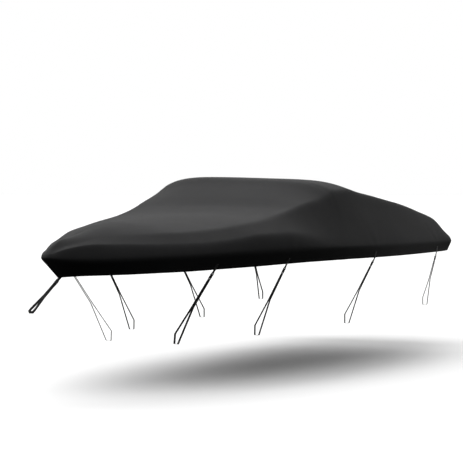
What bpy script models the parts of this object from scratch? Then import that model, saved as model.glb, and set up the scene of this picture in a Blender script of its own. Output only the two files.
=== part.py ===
"""Fitted cover for a runabout boat, with its tie-down straps.

One hollow sheet is lofted over ribs that fan out round the pointed bow and the
square stern. Nine tie-down sets hang from its hem: a sewn tab, a side-release
buckle in two halves and a long strap that loops round the trailer's frame.

Metres. +X is port, +Y is aft and +Z is up. The origin lies on the sheet's
underside, at the top of the hump over the windscreen.
"""

import math
from collections import namedtuple

import bmesh
import bpy
from mathutils import Matrix, Vector

# The sheet. Heights in the tables below are above the rub-rail line, and
# distances aft are from the tip of the bow. The leans make the hump a little
# lower on its port side and the nose a little higher there.
SHEET = 0.002
TOP_AFT = 3.45
TOP_UP = 0.6602
RAIL_ROUND = 0.22
HUMP_LEAN = 0.030
HUMP_LENGTH = 0.90
NOSE_LEAN = 2.3
NOSE_LENGTH = 0.36
RIBS_PER_ROW = 2
SKIRT_ROWS = 2
SLOPE_ROWS = 3
SHOULDER_ROWS = 3
CROWN_ROWS = 5

# Each row is one rib of the port side, from the stem to the middle of the
# transom. In plan a rib runs from the rail to its point on the centreline.
# rail_aft, rail_out: the rib's foot on the rub-rail line; rail_up: its height.
# hem_in, hem_down: the hem, inward from the foot and below it.
# gunwale_up: top of the upright band over the rail.
# shoulder_in, shoulder_up: the ridge over the bow rail and the windscreen's side.
# soft: how far the ridge is rounded, 0 to 1.
# spine_aft, spine_up: the rib's end on the centreline.
# fullness: 2 is an even crown, more is a flat top with drooping edges.
Rib = namedtuple(
    "Rib",
    "rail_aft rail_out rail_up hem_in hem_down gunwale_up "
    "shoulder_in shoulder_up soft spine_aft spine_up fullness",
)
RIBS = [
    Rib(0.000, 0.000, 0.000, 0.216, 0.166, 0.024, 0.086, 0.066, 0.84, 0.330, 0.150, 2.0),
    Rib(0.010, 0.024, 0.000, 0.213, 0.165, 0.025, 0.086, 0.067, 0.84, 0.332, 0.151, 2.0),
    Rib(0.045, 0.052, -0.004, 0.205, 0.160, 0.032, 0.087, 0.071, 0.82, 0.340, 0.153, 2.0),
    Rib(0.120, 0.101, -0.014, 0.180, 0.148, 0.064, 0.086, 0.078, 0.78, 0.375, 0.158, 1.9),
    Rib(0.240, 0.163, -0.024, 0.155, 0.136, 0.092, 0.080, 0.098, 0.66, 0.460, 0.175, 1.9),
    Rib(0.420, 0.267, -0.028, 0.130, 0.130, 0.112, 0.106, 0.133, 0.54, 0.610, 0.211, 1.8),
    Rib(0.660, 0.415, -0.024, 0.114, 0.132, 0.110, 0.146, 0.164, 0.44, 0.810, 0.254, 1.6),
    Rib(0.930, 0.585, -0.014, 0.102, 0.135, 0.094, 0.166, 0.176, 0.38, 1.040, 0.278, 1.4),
    Rib(1.230, 0.758, -0.004, 0.096, 0.137, 0.088, 0.168, 0.188, 0.36, 1.300, 0.286, 1.4),
    Rib(1.580, 0.884, 0.006, 0.090, 0.137, 0.100, 0.174, 0.214, 0.34, 1.620, 0.299, 1.5),
    Rib(1.960, 0.980, 0.013, 0.085, 0.136, 0.132, 0.190, 0.256, 0.36, 1.980, 0.314, 2.0),
    Rib(2.340, 1.045, 0.017, 0.080, 0.132, 0.132, 0.222, 0.302, 0.32, 2.350, 0.334, 2.3),
    Rib(2.650, 1.080, 0.017, 0.075, 0.128, 0.102, 0.236, 0.361, 0.26, 2.655, 0.388, 2.7),
    Rib(2.920, 1.104, 0.015, 0.064, 0.124, 0.070, 0.226, 0.426, 0.22, 2.922, 0.488, 3.2),
    Rib(3.180, 1.122, 0.013, 0.056, 0.121, 0.056, 0.206, 0.476, 0.20, 3.180, 0.588, 4.2),
    Rib(3.340, 1.132, 0.011, 0.051, 0.119, 0.052, 0.202, 0.525, 0.18, 3.340, 0.652, 5.2),
    Rib(3.430, 1.136, 0.011, 0.048, 0.118, 0.050, 0.200, 0.553, 0.17, 3.430, 0.662, 5.4),
    Rib(3.700, 1.146, 0.008, 0.040, 0.116, 0.050, 0.202, 0.567, 0.17, 3.700, 0.664, 5.0),
    Rib(4.050, 1.150, 0.005, 0.028, 0.114, 0.050, 0.204, 0.526, 0.20, 4.050, 0.575, 3.0),
    Rib(4.550, 1.148, 0.002, 0.014, 0.111, 0.042, 0.200, 0.464, 0.24, 4.545, 0.480, 2.8),
    Rib(5.080, 1.138, 0.000, 0.012, 0.107, 0.038, 0.190, 0.394, 0.28, 5.060, 0.405, 2.4),
    Rib(5.520, 1.122, -0.002, 0.014, 0.103, 0.038, 0.170, 0.318, 0.32, 5.440, 0.345, 2.2),
    Rib(5.860, 1.104, -0.004, 0.026, 0.100, 0.050, 0.145, 0.248, 0.40, 5.680, 0.315, 2.4),
    Rib(6.030, 1.088, -0.005, 0.044, 0.097, 0.042, 0.134, 0.160, 0.45, 5.780, 0.300, 2.3),
    Rib(6.098, 1.046, -0.005, 0.058, 0.096, 0.044, 0.134, 0.146, 0.50, 5.820, 0.292, 2.2),
    Rib(6.125, 0.970, -0.005, 0.062, 0.098, 0.050, 0.140, 0.148, 0.45, 5.835, 0.288, 2.2),
    Rib(6.132, 0.780, -0.005, 0.050, 0.100, 0.050, 0.132, 0.158, 0.40, 5.845, 0.286, 2.2),
    Rib(6.138, 0.400, -0.005, 0.046, 0.102, 0.050, 0.088, 0.170, 0.40, 5.848, 0.285, 2.2),
    Rib(6.140, 0.000, -0.005, 0.045, 0.102, 0.050, 0.055, 0.174, 0.40, 5.850, 0.285, 2.2),
]

# Webbing. A tab is doubled webbing, sewn to the skirt and turned round the bar
# of the buckle's socket; GAP keeps touching pieces just apart.
WEB_WIDTH = 0.025
WEB_THICK = 0.0018
GAP = 0.0004
EYE_RADIUS = 0.0037
TAB_RISE = 0.060
TAB_REACH = 0.034
ARC_STEPS = 5

# The side-release buckle. Heights are along the strap, above the socket's bar.
BUCKLE_WIDTH = 0.034
PLATE_THICK = 0.0048
BAR_LENGTH = 0.0045
SLOT_WIDTH = 0.0274
SLOT_LENGTH = 0.0082
SOCKET_THICK = 0.0110
SOCKET_LENGTH = 0.0340
COLLAR_WIDTH = 0.0310
COLLAR_THICK = 0.0104
COLLAR_LENGTH = 0.0100
TONGUE_THICK = 0.0050
CAVITY_THICK = 0.0060
EDGE_ROUND = 0.0016
SOCKET_TOP = -0.5 * BAR_LENGTH - SLOT_LENGTH
MOUTH = SOCKET_TOP - SOCKET_LENGTH
COLLAR_TOP = MOUTH - GAP
COLLAR_FOOT = COLLAR_TOP - COLLAR_LENGTH
PLUG_BAR = COLLAR_FOOT - SLOT_LENGTH - 0.5 * BAR_LENGTH

# Half widths of the plug's tongue and of the cavity that takes it: rows run up
# from the mouth. The cavity breaks out through the socket's sides, where the
# tongue's catches show.
Width = namedtuple("Width", "up tongue cavity")
TONGUE = [
    Width(0.0000, 0.0105, 0.0125),
    Width(0.0080, 0.0112, 0.0125),
    Width(0.0084, 0.0120, 0.0190),
    Width(0.0104, 0.0161, 0.0190),
    Width(0.0190, 0.0161, 0.0190),
    Width(0.0208, 0.0126, 0.0190),
    Width(0.0212, 0.0122, 0.0135),
    Width(0.0290, 0.0080, 0.0093),
    Width(0.0297, 0.0072, 0.0090),
]

# Each row is one tie-down set. rail_aft: where on the rail it hangs; slant:
# degrees inward from plumb; sweep: degrees that the set swings forward in the
# skirt's plane; drop: from the hem to the loop's underside; clear_width and
# clear_height: the room that the trailer's frame takes in the loop.
TieDown = namedtuple("TieDown", "name rail_aft slant sweep drop clear_width clear_height")
SIDE_TIES = [
    TieDown("a", 1.450, 35.0, 7.5, 0.660, 0.045, 0.090),
    TieDown("b", 2.370, 28.5, 3.0, 0.650, 0.045, 0.090),
    TieDown("c", 3.950, 28.5, 0.0, 0.650, 0.045, 0.090),
    TieDown("d", 5.560, 15.0, 0.0, 0.560, 0.045, 0.080),
]
BOW_TIE = TieDown("bow", 0.0, 0.0, 0.0, 0.480, 0.042, 0.050)
BOW_SLANT = 58.0
BOW_TAB_IN = 0.0256
CORNER_RADIUS = 0.006

# The two runs of a strap close up to a waist where they pass the hull's chine.
WAIST_AT = 0.50
WAIST_HALF = 0.0055

FABRIC_COLOUR = (0.012, 0.012, 0.013, 1.0)
WEBBING_COLOUR = (0.008, 0.008, 0.009, 1.0)
PLASTIC_COLOUR = (0.010, 0.010, 0.011, 1.0)


def clear_scene():
    """Remove every object that the open file holds."""
    for obj in list(bpy.data.objects):
        bpy.data.objects.remove(obj, do_unlink=True)


def principled(name, colour, roughness):
    """Return a plain Principled material."""
    material = bpy.data.materials.new(name)
    material.use_nodes = True
    shader = material.node_tree.nodes["Principled BSDF"]
    shader.inputs["Base Color"].default_value = colour
    shader.inputs["Roughness"].default_value = roughness
    return material


def eased(rows, place):
    """Read a table between its rows by monotone cubics, so that nothing overshoots."""
    index = min(int(place), len(rows) - 2)
    part = place - index
    values = []
    for column in range(len(rows[0])):
        def at(row):
            return rows[max(0, min(row, len(rows) - 1))][column]

        def slope(row):
            before = at(row) - at(row - 1)
            after = at(row + 1) - at(row)
            if row in (0, len(rows) - 1):
                return before + after
            return 2.0 * before * after / (before + after) if before * after > 0.0 else 0.0

        low, high = at(index), at(index + 1)
        a, b = slope(index), slope(index + 1)
        square, cube = part * part, part * part * part
        values.append(
            low * (2.0 * cube - 3.0 * square + 1.0) + a * (cube - 2.0 * square + part)
            + high * (3.0 * square - 2.0 * cube) + b * (cube - square)
        )
    return type(rows[0])(*values)


def bend(start, corner, end, steps):
    """Return points along a quadratic curve, both ends included."""
    points = []
    for step in range(steps):
        t = step / (steps - 1)
        points.append(start * (1 - t) ** 2 + corner * 2 * t * (1 - t) + end * t * t)
    return points


def rib_profile(rib):
    """Return a rib's points as (inward, up) vectors, from the hem to the centreline."""
    foot = Vector((0.0, rib.rail_up))
    hem = foot + Vector((rib.hem_in, -rib.hem_down))
    gunwale = foot + Vector((0.012, rib.gunwale_up))
    shoulder = foot + Vector((rib.shoulder_in, rib.shoulder_up - rib.rail_up))
    reach = math.hypot(rib.spine_aft - rib.rail_aft, rib.rail_out)

    def crown(part):
        rise = 1.0 - (1.0 - part) ** rib.fullness
        return Vector((
            shoulder.x + (reach - shoulder.x) * part,
            shoulder.y + (rib.spine_up - shoulder.y) * rise,
        ))

    points = [hem.lerp(foot, step * (1 - RAIL_ROUND) / SKIRT_ROWS) for step in range(SKIRT_ROWS)]
    points += bend(hem.lerp(foot, 1 - RAIL_ROUND), foot, foot.lerp(gunwale, 0.3), 4)
    leave = 1.0 - 0.5 * rib.soft
    points += [gunwale.lerp(shoulder, leave * step / SLOPE_ROWS) for step in range(SLOPE_ROWS)]
    settle = 0.16 * rib.soft
    points += bend(gunwale.lerp(shoulder, leave), shoulder, crown(settle), SHOULDER_ROWS + 1)
    for step in range(1, CROWN_ROWS + 1):
        part = (step / CROWN_ROWS) ** 1.3
        points.append(crown(settle + (1.0 - settle) * part))
    return points


def rib_points(place, side):
    """Return the loft's points for one rib in the part's frame; side is +1 port, -1 starboard."""
    rib = eased(RIBS, place)
    foot = Vector((rib.rail_out, rib.rail_aft))
    spine = Vector((0.0, rib.spine_aft))
    reach = (spine - foot).length
    points = []
    for inward, up in rib_profile(rib):
        plan = foot.lerp(spine, inward / reach)
        hump = math.exp(-((plan.y - TOP_AFT) / HUMP_LENGTH) ** 2) * max(up, 0.0) / TOP_UP
        nose = math.exp(-((plan.y / NOSE_LENGTH) ** 2)) * max(up, 0.0)
        up += side * plan.x * (NOSE_LEAN * nose - HUMP_LEAN * hump)
        points.append(Vector((side * plan.x, plan.y - TOP_AFT, up - TOP_UP)))
    return points


def build_cover(collection, material):
    """Loft both sides of the sheet over the ribs, close it on the centreline and thicken it."""
    last = (len(RIBS) - 1) * RIBS_PER_ROW
    mesh = bmesh.new()
    for side in (1, -1):
        columns = []
        for step in range(last + 1):
            points = rib_points(step / RIBS_PER_ROW, side)
            columns.append([mesh.verts.new(point) for point in points])
        for left, right in zip(columns, columns[1:]):
            for row in range(len(left) - 1):
                face = (left[row], right[row], right[row + 1], left[row + 1])
                mesh.faces.new(face[::side])
    bmesh.ops.remove_doubles(mesh, verts=mesh.verts, dist=0.0001)
    data = bpy.data.meshes.new("cover")
    mesh.to_mesh(data)
    mesh.free()
    data.materials.append(material)
    data.shade_smooth()
    cover = bpy.data.objects.new("cover", data)
    collection.objects.link(cover)
    thick = cover.modifiers.new("thickness", "SOLIDIFY")
    thick.thickness = SHEET
    thick.offset = -1.0
    thick.use_even_offset = True
    return cover


def place_at(aft):
    """Return the place in the rib table whose foot lies this far aft, along the side."""
    low, high = 0.0, float(len(RIBS) - 5)
    for _ in range(40):
        middle = 0.5 * (low + high)
        if eased(RIBS, middle).rail_aft < aft:
            low = middle
        else:
            high = middle
    return 0.5 * (low + high)


def side_frame(tie, side):
    """Return a side set's frame at the hem (x outward, y up) and the skirt's lean there."""
    place = place_at(tie.rail_aft)
    hem, above = rib_points(place, side)[:2]
    along = rib_points(place + 0.02, side)[0] - rib_points(place - 0.02, side)[0]
    outward = side * Vector((along.y, -along.x, 0.0)).normalized()
    up = Vector((0.0, 0.0, 1.0))
    rise = above - hem
    lean = math.atan2(rise.dot(outward), rise.z)
    skirt_out = outward * math.cos(lean) - up * math.sin(lean)
    swing = Matrix.Rotation(-side * math.radians(tie.sweep), 3, skirt_out)
    frame = swing @ Matrix((outward, up, outward.cross(up))).transposed()
    frame = frame.to_4x4()
    frame.translation = hem
    return frame, lean


def bow_frame():
    """Return the bow set's frame at the foot of the stem: x to port, y back up the strap."""
    slant = math.radians(BOW_SLANT)
    port = Vector((1.0, 0.0, 0.0))
    up = Vector((0.0, math.sin(slant), math.cos(slant)))
    frame = Matrix((port, up, port.cross(up))).transposed().to_4x4()
    frame.translation = rib_points(0.0, 1)[0] + Vector((0.0, BOW_TAB_IN, 0.0))
    return frame


def arc(centre, radius, start, sweep, steps=ARC_STEPS):
    """Return points on an arc, both ends included; angles are in radians."""
    angles = [start + sweep * step / steps for step in range(steps + 1)]
    return [centre + radius * Vector((math.cos(angle), math.sin(angle))) for angle in angles]


def offset(path, distance):
    """Return a path moved to its left by a distance."""
    moved = []
    for index, point in enumerate(path):
        ahead = path[min(index + 1, len(path) - 1)] - path[max(index - 1, 0)]
        moved.append(point + distance * Vector((-ahead.y, ahead.x)).normalized())
    return moved


def taut(points):
    """Return the closed line that a taut band takes round points, anticlockwise."""
    ordered = sorted((point.x, point.y) for point in points)

    def half(sequence):
        line = []
        for x, y in sequence:
            while len(line) > 1:
                (ax, ay), (bx, by) = line[-2:]
                if (bx - ax) * (y - ay) - (by - ay) * (x - ax) > 1e-12:
                    break
                line.pop()
            line.append((x, y))
        return line[:-1]

    return [Vector(point) for point in half(ordered) + half(reversed(ordered))]


def flat_solid(name, outlines, depth, collection):
    """Extrude outlines, a rim and any holes in it, to a depth centred on their plane."""
    curve = bpy.data.curves.new(name, "CURVE")
    curve.dimensions = "2D"
    curve.fill_mode = "BOTH"
    curve.extrude = 0.5 * depth
    for outline in outlines:
        spline = curve.splines.new("POLY")
        spline.points.add(len(outline) - 1)
        for point, place in zip(spline.points, outline):
            point.co = (place[0], place[1], 0.0, 1.0)
        spline.use_cyclic_u = True
    solid = bpy.data.objects.new(name, curve)
    collection.objects.link(solid)
    return solid


def strap_axis(slant):
    """Return the unit vectors down a strap and out of its face, seen along the hem."""
    down = Vector((-math.sin(slant), -math.cos(slant)))
    return down, Vector((-down.y, down.x))


def tab_outlines(slant, lean):
    """Return a tab's rim and its eye, and the eye's centre, seen along the hem.

    A lean lays the tab on the skirt; without one it stands up in line with the strap.
    """
    down, side = strap_axis(slant)
    root = Vector((0.0, 0.0))
    path = [-TAB_RISE * down, root]
    if lean is not None:
        skirt = Vector((math.sin(lean), math.cos(lean)))
        skirt_out = Vector((skirt.y, -skirt.x))
        root = skirt_out * (GAP + WEB_THICK)
        path = [root + skirt * TAB_RISE, root + skirt * 0.5 * TAB_RISE]
        path += bend(root + skirt * 0.008, root, root + down * 0.008, 4)
    eye = root + down * TAB_REACH
    path.append(eye - down * (EYE_RADIUS + 2.0 * WEB_THICK))
    turn = math.atan2(side.y, side.x)
    rim = offset(path, WEB_THICK)
    rim += arc(eye, EYE_RADIUS + WEB_THICK, turn, -math.pi)
    rim += offset(path, -WEB_THICK)[::-1]
    return [rim, arc(eye, EYE_RADIUS, turn, 2.0 * math.pi, 2 * ARC_STEPS)[:-1]], eye


def stretch(line, start, end):
    """Return the part of a closed line from one of its points up to just before another."""
    first = min(range(len(line)), key=lambda index: (line[index] - start).length)
    turned = line[first:] + line[:first]
    last = min(range(len(turned)), key=lambda index: (turned[index] - end).length)
    return turned[:last]


def strap_outlines(tie, bar, slant):
    """Return a strap's rim and its loop's inside: a band taut round the bar and the frame."""
    down, side = strap_axis(slant)
    top = Vector((0.0, -tie.drop + WEB_THICK + tie.clear_height))
    top.x = bar.x + down.x / down.y * (top.y - bar.y)
    waist = bar.lerp(top, WAIST_AT)
    outlines = []
    for grow in (WEB_THICK, 0.0):
        inner, outer = waist - side * (WAIST_HALF + grow), waist + side * (WAIST_HALF + grow)
        loop = [inner, outer]
        for across in (-1, 1):
            for below in (0, 1):
                corner = top + Vector((
                    across * (0.5 * tie.clear_width - CORNER_RADIUS),
                    -CORNER_RADIUS - below * (tie.clear_height - 2.0 * CORNER_RADIUS),
                ))
                loop += arc(corner, CORNER_RADIUS + grow, 0.0, 2.0 * math.pi, 4 * ARC_STEPS)
        neck = [inner, outer, *arc(bar, EYE_RADIUS + grow, 0.0, 2.0 * math.pi, 2 * ARC_STEPS)]
        outlines.append(
            stretch(taut(loop), inner, outer) + stretch(taut(neck), outer, inner)
        )
    return outlines


def meshed(solid, collection):
    """Turn an object into a welded mesh of its own, modifiers and all."""
    graph = bpy.context.evaluated_depsgraph_get()
    data = bpy.data.meshes.new_from_object(solid.evaluated_get(graph))
    welded = bmesh.new()
    welded.from_mesh(data)
    bmesh.ops.remove_doubles(welded, verts=welded.verts, dist=0.00001)
    welded.to_mesh(data)
    welded.free()
    name = solid.name
    bpy.data.objects.remove(solid, do_unlink=True)
    whole = bpy.data.objects.new(name, data)
    collection.objects.link(whole)
    return whole


def rounded_box(name, width, low, high, thick, collection):
    """Return a box from low to high along the strap, with its edges rounded."""
    mesh = bmesh.new()
    size = Matrix.Diagonal((width, high - low, thick, 1.0))
    place = Matrix.Translation((0.0, 0.5 * (low + high), 0.0))
    bmesh.ops.create_cube(mesh, size=1.0, matrix=place @ size)
    data = bpy.data.meshes.new(name)
    mesh.to_mesh(data)
    mesh.free()
    box = bpy.data.objects.new(name, data)
    collection.objects.link(box)
    bevel = box.modifiers.new("rounded edges", "BEVEL")
    bevel.width = EDGE_ROUND
    bevel.segments = 1
    return box


def slotted_plate(name, bar, end, collection):
    """Return the flat plate with the webbing's slot, from outside its bar to its end."""
    toward = 1.0 if end > bar else -1.0
    outer = bar - toward * 0.5 * BAR_LENGTH
    near = bar + toward * 0.5 * BAR_LENGTH
    far = near + toward * SLOT_LENGTH
    rim = [(-0.5, outer), (0.5, outer), (0.5, end), (-0.5, end)]
    slot = [(-0.5, near), (0.5, near), (0.5, far), (-0.5, far)]
    outlines = [
        [(x * BUCKLE_WIDTH, y) for x, y in rim],
        [(x * SLOT_WIDTH, y) for x, y in slot],
    ]
    return meshed(flat_solid(name, outlines, PLATE_THICK, collection), collection)


def tongue_outline(column, base):
    """Return the outline of the tongue or of its cavity, symmetric about the strap's line."""
    side = [(getattr(row, column), MOUTH + row.up) for row in TONGUE]
    side[0] = (side[0][0], base)
    return side + [(-x, y) for x, y in reversed(side)]


def combine(solid, tool, operation, collection):
    """Join a tool to a solid, or cut it out, and return the result as one mesh."""
    boolean = solid.modifiers.new(operation.lower(), "BOOLEAN")
    boolean.operation = operation
    boolean.object = tool
    result = meshed(solid, collection)
    bpy.data.objects.remove(tool, do_unlink=True)
    return result


def socket_mesh(collection):
    """Model the buckle's socket: slotted plate, body, and the cavity for the tongue."""
    body = rounded_box("body", BUCKLE_WIDTH, MOUTH, SOCKET_TOP, SOCKET_THICK, collection)
    body = meshed(body, collection)
    plate = slotted_plate("plate", 0.0, SOCKET_TOP - 3.0 * EDGE_ROUND, collection)
    body = combine(body, plate, "UNION", collection)
    outline = tongue_outline("cavity", MOUTH - 0.01)
    cavity = meshed(flat_solid("cavity", [outline], CAVITY_THICK, collection), collection)
    return combine(body, cavity, "DIFFERENCE", collection)


def plug_mesh(collection):
    """Model the buckle's plug: slotted plate, collar and the tongue with its catches."""
    collar = rounded_box("collar", COLLAR_WIDTH, COLLAR_FOOT, COLLAR_TOP, COLLAR_THICK, collection)
    collar = meshed(collar, collection)
    plate = slotted_plate("plate", PLUG_BAR, COLLAR_TOP - 3.0 * EDGE_ROUND, collection)
    collar = combine(collar, plate, "UNION", collection)
    outline = tongue_outline("tongue", COLLAR_TOP - 0.004)
    tongue = meshed(flat_solid("tongue", [outline], TONGUE_THICK, collection), collection)
    return combine(collar, tongue, "UNION", collection)


def hang_set(name, tie, frame, lean, buckle, webbing, collection):
    """Hang one tie-down set from an empty at the hem: tab, socket, plug and strap."""
    station = bpy.data.objects.new("station_" + name, None)
    station.matrix_world = frame
    collection.objects.link(station)
    slant = math.radians(tie.slant)
    down = strap_axis(slant)[0]
    outlines, eye = tab_outlines(slant, lean)
    tab = meshed(flat_solid("tab_" + name, outlines, WEB_WIDTH, collection), collection)
    loop = strap_outlines(tie, eye - down * PLUG_BAR, slant)
    strap = meshed(flat_solid("strap_" + name, loop, WEB_WIDTH, collection), collection)
    tab.data.materials.append(webbing)
    strap.data.materials.append(webbing)
    across = Vector((0.0, 0.0, 1.0))
    upward = -down.to_3d()
    turned = Matrix((across, upward, across.cross(upward))).transposed().to_4x4()
    turned.translation = eye.to_3d()
    pieces = [tab, strap]
    for part, data in zip(("socket_", "plug_"), buckle):
        half = bpy.data.objects.new(part + name, data)
        half.matrix_local = turned
        collection.objects.link(half)
        pieces.append(half)
    for piece in pieces:
        piece.parent = station


def main():
    """Build the cover and its nine tie-down sets."""
    clear_scene()
    collection = bpy.data.collections.new("boat_cover")
    bpy.context.scene.collection.children.link(collection)
    fabric = principled("cover_fabric", FABRIC_COLOUR, 0.62)
    webbing = principled("strap_webbing", WEBBING_COLOUR, 0.75)
    plastic = principled("buckle_plastic", PLASTIC_COLOUR, 0.42)
    build_cover(collection, fabric)
    buckle = []
    for model in (socket_mesh, plug_mesh):
        half = model(collection)
        half.data.materials.append(plastic)
        buckle.append(half.data)
        bpy.data.objects.remove(half, do_unlink=True)
    hang_set("bow", BOW_TIE, bow_frame(), None, buckle, webbing, collection)
    for side, word in ((1, "port_"), (-1, "starboard_")):
        for tie in SIDE_TIES:
            frame, lean = side_frame(tie, side)
            hang_set(word + tie.name, tie, frame, lean, buckle, webbing, collection)


if __name__ == "__main__":
    main()
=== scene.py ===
"""Dressed model of a fitted boat cover, with its webbing tie-downs.

Metres. +X is port, +Y is aft and +Z is up. The origin lies on the sheet's
underside, at the top of its hump.
"""

import logging
import math
from collections.abc import Iterable, Sequence
from dataclasses import dataclass, field
from enum import Enum
from typing import Any, NamedTuple

import bmesh
import bpy
from mathutils import Matrix, Vector, noise


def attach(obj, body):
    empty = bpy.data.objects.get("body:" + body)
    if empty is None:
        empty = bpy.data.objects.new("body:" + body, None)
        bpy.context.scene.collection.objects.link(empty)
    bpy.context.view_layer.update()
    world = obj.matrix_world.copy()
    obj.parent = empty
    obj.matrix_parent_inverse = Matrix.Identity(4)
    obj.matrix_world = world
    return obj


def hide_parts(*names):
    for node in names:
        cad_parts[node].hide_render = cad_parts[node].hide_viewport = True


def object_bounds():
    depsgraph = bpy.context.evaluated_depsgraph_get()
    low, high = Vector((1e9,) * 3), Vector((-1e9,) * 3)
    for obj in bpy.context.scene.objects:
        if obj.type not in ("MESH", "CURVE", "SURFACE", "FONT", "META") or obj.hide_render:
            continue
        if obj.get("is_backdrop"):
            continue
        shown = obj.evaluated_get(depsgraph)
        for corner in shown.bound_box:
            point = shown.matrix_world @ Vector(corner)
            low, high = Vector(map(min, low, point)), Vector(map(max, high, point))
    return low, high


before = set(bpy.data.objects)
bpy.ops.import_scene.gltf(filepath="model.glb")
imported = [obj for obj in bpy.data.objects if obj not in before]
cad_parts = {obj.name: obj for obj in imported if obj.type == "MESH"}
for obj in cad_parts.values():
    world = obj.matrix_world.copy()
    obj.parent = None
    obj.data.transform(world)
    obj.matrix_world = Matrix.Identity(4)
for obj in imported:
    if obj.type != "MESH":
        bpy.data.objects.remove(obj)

log = logging.getLogger("boat_cover")

Colour = tuple[float, float, float, float]

BODY = "root"


class Side(Enum):
    """A side of the cover; the value is the sign of X there."""

    PORT = 1
    STARBOARD = -1


class Slot(Enum):
    """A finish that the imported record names."""

    CLOTH = "cover_fabric"
    WEBBING = "strap_webbing"
    PLASTIC = "buckle_plastic"


# ---------------------------------------------------------------- shader nodes


class Signal:
    """A shader socket that does arithmetic: each operator adds its Math node."""

    def __init__(self, paint: "Painter", socket: bpy.types.NodeSocket) -> None:
        """Wrap an output socket of one of the painter's nodes."""
        self.paint = paint
        self.socket = socket

    def math(self, operation: str, *values: "Signal | float") -> "Signal":
        """Return this signal put through a Math node.

        Args:
            operation: The Math node's operation.
            values: The operation's other values.

        Returns:
            The node's result.
        """
        sockets = dict(enumerate((self, *values)))
        return self.paint.signal("ShaderNodeMath", {"operation": operation}, sockets)

    def __add__(self, other: "Signal | float") -> "Signal":
        """Return the sum."""
        return self.math("ADD", other)

    __radd__ = __add__

    def __mul__(self, other: "Signal | float") -> "Signal":
        """Return the product."""
        return self.math("MULTIPLY", other)

    __rmul__ = __mul__

    def __sub__(self, other: "Signal | float") -> "Signal":
        """Return the difference."""
        return self.math("SUBTRACT", other)

    def __rsub__(self, other: float) -> "Signal":
        """Return a number less this signal."""
        return self.math("MULTIPLY", -1.0).math("ADD", other)

    def sine(self) -> "Signal":
        """Return the sine, the signal being in radians."""
        return self.math("SINE")

    def between(self, low: float, high: float) -> "Signal":
        """Turn the signal into a smooth step.

        Args:
            low: Where the step begins.
            high: Where it ends.

        Returns:
            0 below low, 1 above high, and a smooth rise between them.
        """
        settings = {"interpolation_type": "SMOOTHSTEP"}
        sockets = {"Value": self, "From Min": low, "From Max": high}
        return self.paint.signal("ShaderNodeMapRange", settings, sockets)


class Painter:
    """Builds the nodes of one material round its Principled shader."""

    def __init__(self, name: str, constants: dict[str, float | Colour]) -> None:
        """Make the material.

        Args:
            name: The material's name.
            constants: Shader inputs that are the same all over the surface.
        """
        self.material = bpy.data.materials.new(name)
        self.material.use_nodes = True
        self.tree = self.material.node_tree
        self.shader = self.tree.nodes["Principled BSDF"]
        for socket, value in constants.items():
            self.shader.inputs[socket].default_value = value

    def node(
        self, kind: str, settings: dict[str, Any], sockets: dict[str | int, Any]
    ) -> bpy.types.Node:
        """Add a node.

        Args:
            kind: The node's type.
            settings: Its settings, which are set first.
            sockets: Values or signals for its inputs, by name or number.

        Returns:
            The node.
        """
        made = self.tree.nodes.new(kind)
        for name, value in settings.items():
            setattr(made, name, value)
        for key, value in sockets.items():
            if isinstance(value, Signal):
                self.tree.links.new(value.socket, made.inputs[key])
            else:
                made.inputs[key].default_value = value
        return made

    def signal(
        self, kind: str, settings: dict[str, Any], sockets: dict[str | int, Any], out: int = 0
    ) -> Signal:
        """Add a node and return one of its outputs."""
        return Signal(self, self.node(kind, settings, sockets).outputs[out])

    def place(self) -> Signal:
        """Return the point's place in the part's frame."""
        return self.signal("ShaderNodeTexCoord", {}, {}, 3)

    def along(self, layer: str) -> tuple[Signal, Signal, Signal]:
        """Read a UV map.

        Args:
            layer: The map's name.

        Returns:
            Its point, and the point's two parts in metres of cloth.
        """
        point = self.signal("ShaderNodeUVMap", {"uv_map": layer}, {})
        split = self.node("ShaderNodeSeparateXYZ", {}, {0: point})
        return point, Signal(self, split.outputs[0]), Signal(self, split.outputs[1])

    def stretched(self, point: Signal, scale: Sequence[float]) -> Signal:
        """Return a point with each axis scaled, for a pattern that is longer one way."""
        return self.signal("ShaderNodeMapping", {}, {"Vector": point, "Scale": tuple(scale)})

    def cloud(self, point: Signal, scale: float, detail: float, roughness: float = 0.5) -> Signal:
        """Return soft noise from about 0 to 1."""
        sockets = {"Vector": point, "Scale": scale, "Detail": detail, "Roughness": roughness}
        return self.signal("ShaderNodeTexNoise", {}, sockets)

    def blend(self, share: Signal, low: Colour, high: Colour) -> Signal:
        """Return a colour between two others."""
        return self.signal("ShaderNodeMix", {"data_type": "RGBA"}, {0: share, 6: low, 7: high}, 2)

    def finish(
        self, colour: Signal, roughness: Signal, height: Signal, depth: float
    ) -> bpy.types.Material:
        """Feed the shader.

        Args:
            colour: The surface's colour.
            roughness: Its roughness.
            height: Its relief, from 0 to 1.
            depth: The relief's depth in metres.

        Returns:
            The finished material.
        """
        relief = {"Height": height, "Distance": depth, "Strength": 1.0}
        bump = self.signal("ShaderNodeBump", {}, relief)
        for name, value in (("Base Color", colour), ("Roughness", roughness), ("Normal", bump)):
            self.tree.links.new(value.socket, self.shader.inputs[name])
        return self.material


# -------------------------------------------------------------------- finishes


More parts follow.
